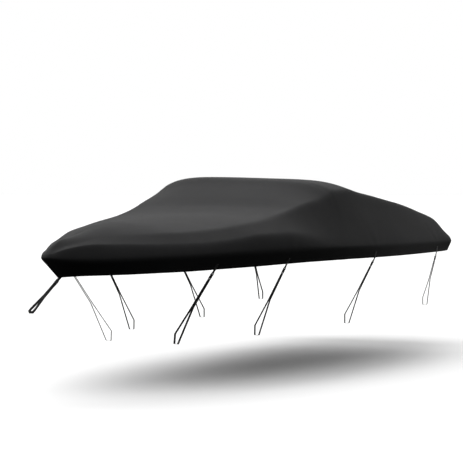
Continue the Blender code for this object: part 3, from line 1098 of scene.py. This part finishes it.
@dataclass
class Stitching:
    """Sewn stitches along lines, laid by a Geometry Nodes tree."""

    material: bpy.types.Material
    radius: float = 0.0005
    lift: float = 0.0003
    segments: int = 5
    rings: int = 4

    def tree(self) -> bpy.types.GeometryNodeTree:
        """Build the tree: resample the lines, set a stitch on each point, realize them.

        Returns:
            The tree.
        """
        tree = bpy.data.node_groups.new("stitches", "GeometryNodeTree")
        face = tree.interface
        face.new_socket("Lines", in_out="INPUT", socket_type="NodeSocketGeometry")
        for name in ("Pitch", "Length", "Radius"):
            face.new_socket(name, in_out="INPUT", socket_type="NodeSocketFloat")
        face.new_socket("Stitches", in_out="OUTPUT", socket_type="NodeSocketGeometry")
        add = tree.nodes.new
        join = tree.links.new
        given = add("NodeGroupInput")
        spaced = add("GeometryNodeResampleCurve")
        spaced.mode = "LENGTH"
        join(given.outputs["Lines"], spaced.inputs["Curve"])
        join(given.outputs["Pitch"], spaced.inputs["Length"])
        stitch = add("GeometryNodeMeshUVSphere")
        stitch.inputs["Segments"].default_value = self.segments
        stitch.inputs["Rings"].default_value = self.rings
        stitch.inputs["Radius"].default_value = 1.0
        size = add("ShaderNodeCombineXYZ")
        half = add("ShaderNodeMath")
        half.operation = "MULTIPLY"
        half.inputs[1].default_value = 0.5
        join(given.outputs["Length"], half.inputs[0])
        join(given.outputs["Radius"], size.inputs["X"])
        join(given.outputs["Radius"], size.inputs["Y"])
        join(half.outputs[0], size.inputs["Z"])
        heading = add("GeometryNodeInputTangent")
        turn = add("FunctionNodeAlignRotationToVector")
        turn.axis = "Z"
        join(heading.outputs[0], turn.inputs["Vector"])
        laid = add("GeometryNodeInstanceOnPoints")
        join(spaced.outputs[0], laid.inputs["Points"])
        join(stitch.outputs["Mesh"], laid.inputs["Instance"])
        join(turn.outputs[0], laid.inputs["Rotation"])
        join(size.outputs[0], laid.inputs["Scale"])
        real = add("GeometryNodeRealizeInstances")
        join(laid.outputs[0], real.inputs[0])
        smooth = add("GeometryNodeSetShadeSmooth")
        join(real.outputs[0], smooth.inputs[0])
        finish = add("GeometryNodeSetMaterial")
        finish.inputs["Material"].default_value = self.material
        join(smooth.outputs[0], finish.inputs["Geometry"])
        result = add("NodeGroupOutput")
        join(finish.outputs[0], result.inputs[0])
        return tree

    def sew(
        self, name: str, lines: Sequence[Sequence[Vector]], stitch: Stitch
    ) -> bpy.types.Object:
        """Sew stitches along lines.

        Args:
            name: The piece's name.
            lines: The seams, as points in the part's frame.
            stitch: The stitches' sizes.

        Returns:
            The stitches as one plain mesh.
        """
        curve = bpy.data.curves.new(name, "CURVE")
        curve.dimensions = "3D"
        for line in lines:
            spline = curve.splines.new("POLY")
            spline.points.add(len(line) - 1)
            for point, place in zip(spline.points, line):
                point.co = (*place, 1.0)
        path = linked(name, curve)
        sewn = path.modifiers.new("stitches", "NODES")
        sewn.node_group = self.tree()
        named = {"Pitch": stitch.pitch, "Length": stitch.length, "Radius": self.radius}
        for item in sewn.node_group.interface.items_tree:
            if item.name in named:
                sewn[item.identifier] = named[item.name]
        return baked(path)


# -------------------------------------------------------------------- tie-downs


class TieDown(NamedTuple):
    """One tie-down set: where it hangs on the rail, and how its strap runs.

    Slant leans the strap in under the sheet and sweep swings it along the side, both
    in degrees. The clear width and height are those of its loop.
    """

    name: str
    rail_aft: float
    slant: float
    sweep: float
    drop: float
    clear_width: float
    clear_height: float


SIDE_TIES = (
    TieDown("a", 1.450, 35.0, 7.5, 0.660, 0.045, 0.090),
    TieDown("b", 2.370, 28.5, 3.0, 0.650, 0.045, 0.090),
    TieDown("c", 3.950, 28.5, 0.0, 0.650, 0.045, 0.090),
    TieDown("d", 5.560, 15.0, 0.0, 0.560, 0.045, 0.080),
)
BOW_TIE = TieDown("bow", 0.0, 0.0, 0.0, 0.480, 0.042, 0.050)
# The bow strap leans forward by so many degrees, and its tab is sewn so far in from the hem.
BOW_SLANT = 58.0
BOW_TAB_IN = 0.0256


@dataclass
class Band:
    """Flat webbing swept along a path that lies in a set's own plane."""

    width: float = 0.025
    thick: float = 0.0017
    selvedge: float = 0.0006
    rounding: float = 0.45
    crease: float = 50.0

    def section(self) -> list[tuple[float, float]]:
        """Draw the webbing's section.

        Returns:
            A closed line, as (across, out).
        """
        half = 0.5 * self.width
        deep = 0.5 * self.thick
        inner, shallow = self.rounding * half, self.rounding * deep
        face = [half - self.selvedge, inner, -inner, -half + self.selvedge]
        return [
            (half, shallow),
            *((across, deep) for across in face),
            (-half, shallow),
            (-half, -shallow),
            *((across, -deep) for across in reversed(face)),
            (half, -shallow),
        ]

    def sweep(
        self,
        name: str,
        path: Sequence[Vector],
        closed: bool,
        station: Matrix,
        material: bpy.types.Material,
    ) -> bpy.types.Object:
        """Sweep the webbing along a path.

        Args:
            name: The piece's name.
            path: Points of the band's middle, in the set's plane.
            closed: Whether the path is a loop.
            station: The set's place.
            material: The webbing's finish.

        Returns:
            The band.
        """
        mesh = bmesh.new()
        layer = mesh.loops.layers.uv.new("band")
        section = self.section()
        count = len(path)
        rings = []
        run = 0.0
        runs = []
        for index, point in enumerate(path):
            before = path[(index - 1) % count] if closed or index else point
            after = path[(index + 1) % count] if closed or index < count - 1 else point
            ahead = (after - before).normalized()
            out = Vector((-ahead.y, ahead.x))
            if index:
                run += (point - path[index - 1]).length
            runs.append(run)
            ring = []
            for across, lift in section:
                place = point + out * lift
                ring.append(mesh.verts.new(station @ Vector((place.x, place.y, across))))
            rings.append(ring)
        runs.append(run + (path[0] - path[-1]).length)
        pairs = [(index, (index + 1) % count) for index in range(count if closed else count - 1)]
        for index, following in pairs:
            for part in range(len(section)):
                then = (part + 1) % len(section)
                near, far = rings[index], rings[following]
                face = mesh.faces.new((near[part], far[part], far[then], near[then]))
                spots = ((part, index), (part, index + 1), (then, index + 1), (then, index))
                for loop, (corner, step) in zip(face.loops, spots):
                    loop[layer].uv = (section[corner][0], runs[step])
        if not closed:
            mesh.faces.new(rings[0])
            mesh.faces.new(rings[-1][::-1])
        bmesh.ops.recalc_face_normals(mesh, faces=mesh.faces)
        made = object_of(mesh, name, material)
        made.data.set_sharp_from_angle(angle=math.radians(self.crease))
        return made


class Corner(NamedTuple):
    """A corner of the right-hand half of one of the buckle's outlines.

    Across is measured in from the side's edge or out from the middle, as the
    outline says, and up from the socket's mouth.
    """

    across: float
    up: float


# In from the side's edge: the socket's side, with the window that the plug's arm fills.
SOCKET_SIDE = (
    Corner(0.0022, 0.0000),
    Corner(0.0004, 0.0040),
    Corner(0.0000, 0.0080),
    Corner(0.0046, 0.0092),
    Corner(0.0050, 0.0196),
    Corner(0.0000, 0.0212),
    Corner(0.0000, 0.0300),
)
# Out from the middle: the room inside the socket, open through its side windows.
SOCKET_ROOM = (
    Corner(0.0125, -0.0060),
    Corner(0.0125, 0.0082),
    Corner(0.0190, 0.0084),
    Corner(0.0190, 0.0208),
    Corner(0.0135, 0.0212),
    Corner(0.0090, 0.0297),
)
# Out from the middle: the plug's sprung arm, from the collar to its tip.
PLUG_ARM = (
    Corner(0.0112, 0.0078),
    Corner(0.0120, 0.0088),
    Corner(0.0156, 0.0104),
    Corner(0.0161, 0.0150),
    Corner(0.0156, 0.0190),
    Corner(0.0126, 0.0206),
    Corner(0.0122, 0.0212),
    Corner(0.0080, 0.0290),
)


@dataclass
class Buckle:
    """The side-release buckle, modelled once about the tab's eye.

    X runs across the strap, Y up it and Z out of the buckle's face.
    """

    material: bpy.types.Material
    width: float = 0.034
    plate_thick: float = 0.0048
    bar: float = 0.0045
    slot_width: float = 0.0274
    slot_length: float = 0.0082
    body_thick: float = 0.0110
    body_length: float = 0.0340
    collar_width: float = 0.0310
    collar_thick: float = 0.0104
    collar_length: float = 0.0100
    tongue_thick: float = 0.0050
    tongue_root: float = 0.0105
    tongue_edge: float = 0.0008
    cavity_thick: float = 0.0060
    cavity_edge: float = 0.0003
    overlap: float = 0.004
    gap: float = 0.0004
    edge: float = 0.0014
    body_edge: float = 0.0020
    shoulder_in: float = 0.0012
    collar_in: float = 0.0010
    collar_lip: float = 0.0006
    end_round: float = 0.003
    slot_round: float = 0.0012
    side_round: float = 0.0016
    grips: int = 3
    grip_low: float = 0.0036
    grip_pitch: float = 0.0028
    grip_half: float = 0.0072
    grip_width: float = 0.0012
    grip_thick: float = 0.0010
    grip_edge: float = 0.0004
    grip_round: float = 0.0006
    weld: float = 0.00002
    crease: float = 38.0

    @property
    def body_top(self) -> float:
        """Where the socket's body meets its slotted plate."""
        return -0.5 * self.bar - self.slot_length

    @property
    def mouth(self) -> float:
        """Where the plug enters the socket."""
        return self.body_top - self.body_length

    @property
    def plug_bar(self) -> float:
        """The middle of the plug's bar, which the strap goes round."""
        return self.mouth - self.gap - self.collar_length - self.slot_length - 0.5 * self.bar

    def plate(
        self,
        outlines: Sequence[Sequence[tuple[float, float]]],
        thick: float,
        edge: float,
        lift: float = 0.0,
    ) -> bpy.types.Object:
        """Return a plate with rounded edges.

        Args:
            outlines: Its rim, and any holes.
            thick: Its thickness.
            edge: The radius of its edges.
            lift: How far its middle lies out of the buckle's plane.

        Returns:
            The plate as a welded mesh.
        """
        curve = bpy.data.curves.new("plate", "CURVE")
        curve.dimensions = "2D"
        curve.fill_mode = "BOTH"
        curve.extrude = 0.5 * thick - edge
        curve.bevel_depth = edge
        curve.bevel_resolution = 2
        curve.offset = -edge
        for outline in outlines:
            spline = curve.splines.new("POLY")
            spline.points.add(len(outline) - 1)
            for point, (x, y) in zip(spline.points, outline):
                point.co = (x, y, 0.0, 1.0)
            spline.use_cyclic_u = True
        made = baked(linked("plate", curve))
        made.data.transform(Matrix.Translation((0.0, 0.0, lift)))
        welded = bmesh.new()
        welded.from_mesh(made.data)
        bmesh.ops.remove_doubles(welded, verts=welded.verts, dist=self.weld)
        bmesh.ops.recalc_face_normals(welded, faces=welded.faces)
        welded.to_mesh(made.data)
        welded.free()
        return made

    def rounded(
        self, corners: Sequence[tuple[float, float]], radius: float
    ) -> list[tuple[float, float]]:
        """Round the corners of a closed outline.

        Args:
            corners: The outline.
            radius: How far from a corner its round begins, where there is room.

        Returns:
            The rounded outline.
        """
        outline = []
        count = len(corners)
        for index in range(count):
            near = [corners[(index + step) % count] for step in (-1, 0, 1)]
            before, corner, after = (Vector(spot) for spot in near)
            back, ahead = before - corner, after - corner
            cut = min(radius, 0.45 * back.length, 0.45 * ahead.length)
            start, end = (corner + way.normalized() * cut for way in (back, ahead))
            outline += [(point.x, point.y) for point in bend(start, corner, end, 5)]
        return outline

    def mirrored(self, side: Sequence[tuple[float, float]]) -> list[tuple[float, float]]:
        """Return the outline that a right-hand side makes with its mirror image."""
        return [*side, *((-x, y) for x, y in reversed(side))]

    def merge(self, name: str, pieces: Sequence[bpy.types.Object]) -> bpy.types.Mesh:
        """Join plates into one mesh and remove them.

        Args:
            name: The mesh's name.
            pieces: The plates.

        Returns:
            The mesh.
        """
        whole = bmesh.new()
        for piece in pieces:
            whole.from_mesh(piece.data)
            bpy.data.objects.remove(piece, do_unlink=True)
        data = bpy.data.meshes.new(name)
        whole.to_mesh(data)
        whole.free()
        data.materials.append(self.material)
        data.shade_smooth()
        data.set_sharp_from_angle(angle=math.radians(self.crease))
        return data

    def hollowed(self, body: bpy.types.Object, cutter: bpy.types.Object) -> bpy.types.Object:
        """Cut one plate's shape out of another.

        Args:
            body: The plate that is cut.
            cutter: The shape that is cut out, which is removed.

        Returns:
            The cut plate.
        """
        cut = body.modifiers.new("cut", "BOOLEAN")
        cut.operation = "DIFFERENCE"
        cut.object = cutter
        result = baked(body)
        bpy.data.objects.remove(cutter, do_unlink=True)
        return result

    def slotted(self, outer: float, end: float, near: float, far: float) -> bpy.types.Object:
        """Build the flat end that the webbing is threaded through.

        Args:
            outer: Where its rim ends.
            end: Where it ends inside the buckle's body or collar.
            near: Where its slot begins.
            far: Where its slot ends.

        Returns:
            The slotted plate.
        """
        half, slot = 0.5 * self.width, 0.5 * self.slot_width
        rim = [(half, outer), (half, end), (-half, end), (-half, outer)]
        hole = [(slot, near), (slot, far), (-slot, far), (-slot, near)]
        outlines = [self.rounded(rim, self.end_round), self.rounded(hole, self.slot_round)]
        return self.plate(outlines, self.plate_thick, self.edge)

    def socket(self) -> bpy.types.Mesh:
        """Model the socket: a slotted end, a body with side windows, and moulded grips.

        Returns:
            The socket's mesh.
        """
        half, mouth, top = 0.5 * self.width, self.mouth, self.body_top
        side = [(half - corner.across, mouth + corner.up) for corner in SOCKET_SIDE]
        side.append((half - self.shoulder_in, top))
        rim = self.rounded(self.mirrored(side), self.side_round)
        body = self.plate([rim], self.body_thick, self.body_edge)
        room = self.mirrored([(corner.across, mouth + corner.up) for corner in SOCKET_ROOM])
        body = self.hollowed(body, self.plate([room], self.cavity_thick, self.cavity_edge))
        slot = self.slotted(0.5 * self.bar, top - self.overlap, -0.5 * self.bar, top)
        plates = [body, slot]
        for step in range(self.grips):
            low = mouth + self.grip_low + self.grip_pitch * step
            grip = self.mirrored([(self.grip_half, low), (self.grip_half, low + self.grip_width)])
            for face in (-1.0, 1.0):
                lift = face * 0.5 * self.body_thick
                ridge = self.rounded(grip, self.grip_round)
                plates.append(self.plate([ridge], self.grip_thick, self.grip_edge, lift))
        return self.merge("socket", plates)

    def plug(self) -> bpy.types.Mesh:
        """Model the plug: a slotted end, a collar, and the tongue with its sprung arms.

        Returns:
            The plug's mesh.
        """
        foot = self.plug_bar + 0.5 * self.bar + self.slot_length
        top = self.mouth - self.gap
        half = 0.5 * self.collar_width
        side = [
            (half - self.collar_in, foot),
            (half, foot + self.overlap),
            (half - self.collar_lip, top),
        ]
        rim = self.rounded(self.mirrored(side), self.side_round)
        collar = self.plate([rim], self.collar_thick, self.body_edge)
        arm = [(self.tongue_root, top - self.overlap)]
        arm += [(corner.across, self.mouth + corner.up) for corner in PLUG_ARM]
        shape = self.rounded(self.mirrored(arm), self.tongue_edge)
        tongue = self.plate([shape], self.tongue_thick, self.tongue_edge)
        low, high = self.plug_bar - 0.5 * self.bar, self.plug_bar + 0.5 * self.bar
        end = self.slotted(low, foot + self.overlap, high, foot)
        return self.merge("plug", [collar, tongue, end])


@dataclass
class TieDownSet:
    """One set: a sewn tab, a buckle in two halves and a strap that ends in an open loop."""

    form: CoverForm
    tie: TieDown
    side: Side | None
    web_thick: float = 0.0018
    gap: float = 0.0004
    eye_radius: float = 0.0037
    tab_rise: float = 0.060
    tab_reach: float = 0.034
    tab_turn: float = 0.008
    tab_turn_points: int = 6
    tab_step: float = 0.012
    strap_step: float = 0.03
    box_low: float = 0.016
    box_high: float = 0.054
    box_half: float = 0.009
    thread_lift: float = 0.0001
    corner_radius: float = 0.006
    waist_at: float = 0.50
    waist_half: float = 0.0055
    arc_steps: int = 8

    @property
    def name(self) -> str:
        """The set's name, as the CAD nodes have it."""
        return "bow" if self.side is None else f"{self.side.name.lower()}_{self.tie.name}"

    def station(self) -> tuple[Matrix, float | None]:
        """Find where the set hangs.

        Returns:
            Its place on the hem, and the skirt's lean there (none at the bow).
        """
        up = Vector((0.0, 0.0, 1.0))
        if self.side is None:
            slant = math.radians(BOW_SLANT)
            out = Vector((1.0, 0.0, 0.0))
            rising = Vector((0.0, math.sin(slant), math.cos(slant)))
            place = Matrix((out, rising, out.cross(rising))).transposed().to_4x4()
            stem = self.form.hem(0.0, Side.PORT)[0]
            place.translation = stem + Vector((0.0, BOW_TAB_IN, 0.0))
            return place, None
        side = self.side
        at = self.form.place_at(self.tie.rail_aft)
        hem, above = self.form.hem(at, side)
        along = self.form.hem(at + 0.02, side)[0] - self.form.hem(at - 0.02, side)[0]
        out = side.value * Vector((along.y, -along.x, 0.0)).normalized()
        rise = above - hem
        lean = math.atan2(rise.dot(out), rise.z)
        facing = out * math.cos(lean) - up * math.sin(lean)
        swing = Matrix.Rotation(-side.value * math.radians(self.tie.sweep), 3, facing)
        place = (swing @ Matrix((out, up, out.cross(up))).transposed()).to_4x4()
        place.translation = hem
        return place, lean

    def axis(self) -> tuple[Vector, Vector]:
        """Find how the strap hangs.

        Returns:
            The directions down the strap and out of its face.
        """
        slant = math.radians(self.tie.slant)
        down = Vector((-math.sin(slant), -math.cos(slant)))
        return down, Vector((-down.y, down.x))

    def tab_path(self, lean: float | None) -> tuple[list[Vector], Vector]:
        """Draw the tab's doubled webbing.

        Args:
            lean: The skirt's lean, or none at the bow.

        Returns:
            The webbing's middle, and the centre of its eye.
        """
        down, side = self.axis()
        root = Vector((0.0, 0.0))
        path = [-self.tab_rise * down, root]
        if lean is not None:
            skirt = Vector((math.sin(lean), math.cos(lean)))
            root = Vector((skirt.y, -skirt.x)) * (self.gap + self.web_thick)
            path = [root + skirt * self.tab_rise, root + skirt * 0.5 * self.tab_rise]
            turn_in, turn_out = root + skirt * self.tab_turn, root + down * self.tab_turn
            path += bend(turn_in, root, turn_out, self.tab_turn_points)
        eye = root + down * self.tab_reach
        path.append(eye - down * (self.eye_radius + 2.0 * self.web_thick))
        turn = math.atan2(side.y, side.x)
        wrap = arc(eye, self.eye_radius + 0.5 * self.web_thick, turn, -math.pi, self.arc_steps)
        layer = 0.5 * self.web_thick
        return [*offset(path, layer), *wrap, *reversed(offset(path, -layer))], eye

    def strap_path(self, bar: Vector) -> list[Vector]:
        """Draw the strap: taut round the bar, then a narrow waist and an open loop.

        Args:
            bar: The middle of the plug's bar.

        Returns:
            The strap's middle, a closed line.
        """
        tie = self.tie
        down, side = self.axis()
        grow = 0.5 * self.web_thick
        top = Vector((0.0, -tie.drop + self.web_thick + tie.clear_height))
        top.x = bar.x + down.x / down.y * (top.y - bar.y)
        waist = bar.lerp(top, self.waist_at)
        aside = side * (self.waist_half + grow)
        inner, outer = waist - aside, waist + aside
        loop = [inner, outer]
        radius = self.corner_radius
        for across in (-1, 1):
            for below in (0, 1):
                corner = top + Vector((
                    across * (0.5 * tie.clear_width - radius),
                    -radius - below * (tie.clear_height - 2.0 * radius),
                ))
                loop += arc(corner, radius + grow, 0.0, 2.0 * math.pi, 4 * self.arc_steps)
        radius = self.eye_radius + grow
        neck = [inner, outer, *arc(bar, radius, 0.0, 2.0 * math.pi, 3 * self.arc_steps)]
        path = stretch(taut(loop), inner, outer) + stretch(taut(neck), outer, inner)
        return spread([*path, path[0]], self.strap_step)[:-1]

    def box_stitch(self, station: Matrix, lean: float) -> list[list[Vector]]:
        """Draw the box and cross that sew the tab to the skirt.

        Args:
            station: The set's place.
            lean: The skirt's lean.

        Returns:
            The box, and the cross's two lines.
        """
        skirt = Vector((math.sin(lean), math.cos(lean)))
        lift = self.gap + 2.0 * self.web_thick + self.thread_lift
        out = Vector((skirt.y, -skirt.x)) * lift
        low, high, half = self.box_low, self.box_high, self.box_half
        spots = []
        for rise, across in ((low, -half), (low, half), (high, half), (high, -half)):
            flat = out + skirt * rise
            spots.append(station @ Vector((flat.x, flat.y, across)))
        rim = [*spots, spots[0]]
        return [rim, [spots[0], spots[2]], [spots[1], spots[3]]]

    def build(
        self,
        band: Band,
        webbing: bpy.types.Material,
        buckle: Buckle,
        halves: dict[str, bpy.types.Mesh],
    ) -> list[list[Vector]]:
        """Hang the set.

        Args:
            band: The webbing's section.
            webbing: Its finish.
            buckle: The buckle's sizes.
            halves: Its two meshes, by name.

        Returns:
            The lines that sew the tab on.
        """
        station, lean = self.station()
        path, eye = self.tab_path(lean)
        down = self.axis()[0]
        tab_line = spread(path, self.tab_step)
        tab = band.sweep(f"sewn_tab_{self.name}", tab_line, False, station, webbing)
        enlist(tab, Slot.WEBBING, f"tab_{self.name}")
        loop = self.strap_path(eye + down * -buckle.plug_bar)
        strap = band.sweep(f"tie_strap_{self.name}", loop, True, station, webbing)
        enlist(strap, Slot.WEBBING, f"strap_{self.name}")
        across = Vector((0.0, 0.0, 1.0))
        upward = -down.to_3d()
        turned = Matrix((across, upward, across.cross(upward))).transposed().to_4x4()
        turned.translation = eye.to_3d()
        for half, mesh in halves.items():
            data = mesh.copy()
            data.transform(station @ turned)
            piece = linked(f"buckle_{half}_{self.name}", data)
            enlist(piece, Slot.PLASTIC, f"{half}_{self.name}")
        return [] if lean is None else self.box_stitch(station, lean)


# ----------------------------------------------------------------------- studio


@dataclass(frozen=True)
class SoftSun:
    """A wide soft light.

    It shines from azimuth degrees round, from the bow to port, and from
    elevation degrees up. Its spread is in degrees too.
    """

    name: str
    azimuth: float
    elevation: float
    strength: float
    spread: float

    def hang(self) -> None:
        """Add the light."""
        turn, up = math.radians(self.azimuth), math.radians(self.elevation)
        level = math.cos(up)
        source = Vector((math.sin(turn) * level, -math.cos(turn) * level, math.sin(up)))
        light = bpy.data.lights.new(self.name, "SUN")
        light.energy = self.strength
        light.angle = math.radians(self.spread)
        linked(self.name, light).rotation_euler = source.to_track_quat("Z", "Y").to_euler()


SUNS = (
    SoftSun("bow_high", 0.0, 50.0, 2.85, 60.0),
    SoftSun("port_quarter", 135.0, 20.0, 0.52, 60.0),
    SoftSun("stern_low", 180.0, 20.0, 0.59, 60.0),
    SoftSun("starboard_low", 225.0, 20.0, 0.22, 60.0),
    SoftSun("starboard_high", 225.0, 50.0, 1.55, 60.0),
    SoftSun("starboard_bow", 315.0, 20.0, 1.03, 60.0),
)


@dataclass
class Studio:
    """Floor, backdrop, light and camera."""

    floor_up: float = -1.825
    floor_reach: float = 400.0
    backdrop: float = 1.0
    ambient: float = 0.01
    eye: tuple[float, float, float] = (7.887, -14.57, -0.115)
    heading: tuple[float, float] = (-0.4848, 0.8746)
    pitch: float = -1.365
    lens: float = 132.2
    sensor_width: float = 36.0
    sight: float = 500.0

    def lay_floor(self) -> None:
        """Lay the floor; it takes shadows and throws no light back up."""
        mesh = bmesh.new()
        bmesh.ops.create_grid(mesh, x_segments=2, y_segments=2, size=self.floor_reach)
        bmesh.ops.translate(mesh, verts=mesh.verts, vec=(0.0, 0.0, self.floor_up))
        floor = object_of(mesh, "studio_floor", StudioPaint().material())
        floor.visible_diffuse = False
        floor.visible_glossy = False
        floor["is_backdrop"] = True

    def light(self) -> None:
        """Hang the lights before a plain white backdrop."""
        world = bpy.data.worlds.new("studio")
        world.use_nodes = True
        bpy.context.scene.world = world
        bpy.context.scene.view_settings.view_transform = "Standard"
        nodes, links = world.node_tree.nodes, world.node_tree.links
        ambient = nodes["Background"]
        white = nodes.new("ShaderNodeBackground")
        for shown, strength in ((ambient, self.ambient), (white, self.backdrop)):
            shown.inputs["Color"].default_value = (1.0, 1.0, 1.0, 1.0)
            shown.inputs["Strength"].default_value = strength
        rays = nodes.new("ShaderNodeLightPath")
        either = nodes.new("ShaderNodeMixShader")
        links.new(rays.outputs["Is Camera Ray"], either.inputs[0])
        links.new(ambient.outputs[0], either.inputs[1])
        links.new(white.outputs[0], either.inputs[2])
        links.new(either.outputs[0], nodes["World Output"].inputs["Surface"])
        for sun in SUNS:
            sun.hang()

    def set_camera(self) -> None:
        """Put the camera off the port bow, at eye height."""
        data = bpy.data.cameras.new("camera")
        data.lens = self.lens
        data.sensor_width = self.sensor_width
        data.clip_end = self.sight
        camera = linked("camera", data)
        pitch = math.radians(self.pitch)
        level = math.cos(pitch)
        look = Vector((self.heading[0] * level, self.heading[1] * level, math.sin(pitch)))
        camera.location = self.eye
        camera.rotation_euler = look.to_track_quat("-Z", "Y").to_euler()
        bpy.context.scene.camera = camera

    def build(self) -> None:
        """Set the studio up."""
        self.set_camera()
        self.lay_floor()
        self.light()


def corners(bounds: tuple[Vector, Vector]) -> list[list[float]]:
    """Return a box's two corners as plain lists."""
    return [list(corner) for corner in bounds]


def main() -> None:
    """Dress the cover and its tie-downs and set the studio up."""
    logging.basicConfig(level=logging.INFO, format="%(message)s")
    cad_box = corners(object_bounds())
    form = CoverForm()
    sheet = FittedSheet(form, [tie.rail_aft for tie in SIDE_TIES])
    sheet.loft()
    cloth = sheet.build(CoatedCloth().material())
    enlist(cloth, Slot.CLOTH, "cover")
    webbing = Webbing().material()
    buckle = Buckle(Moulding().material())
    halves = {"socket": buckle.socket(), "plug": buckle.plug()}
    band = Band()
    sets = [TieDownSet(form, BOW_TIE, None)]
    sets += [TieDownSet(form, tie, side) for side in Side for tie in SIDE_TIES]
    tab_seams = []
    for tie_set in sets:
        tab_seams += tie_set.build(band, webbing, buckle, halves)
    for mesh in halves.values():
        bpy.data.meshes.remove(mesh)
    stitching = Stitching(Thread().material())
    seams = [sheet.seam(side, girth, stitching.lift) for side in Side for girth in sheet.hem_seams]
    hem = stitching.sew("hem_stitches", seams, HEM_STITCH)
    enlist(hem, Slot.CLOTH)
    boxes = stitching.sew("tab_stitches", tab_seams, TAB_STITCH)
    enlist(boxes, Slot.WEBBING)
    Studio().build()
    {"cad": cad_box, "visual": corners(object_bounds())}


if __name__ == "__main__":
    main()
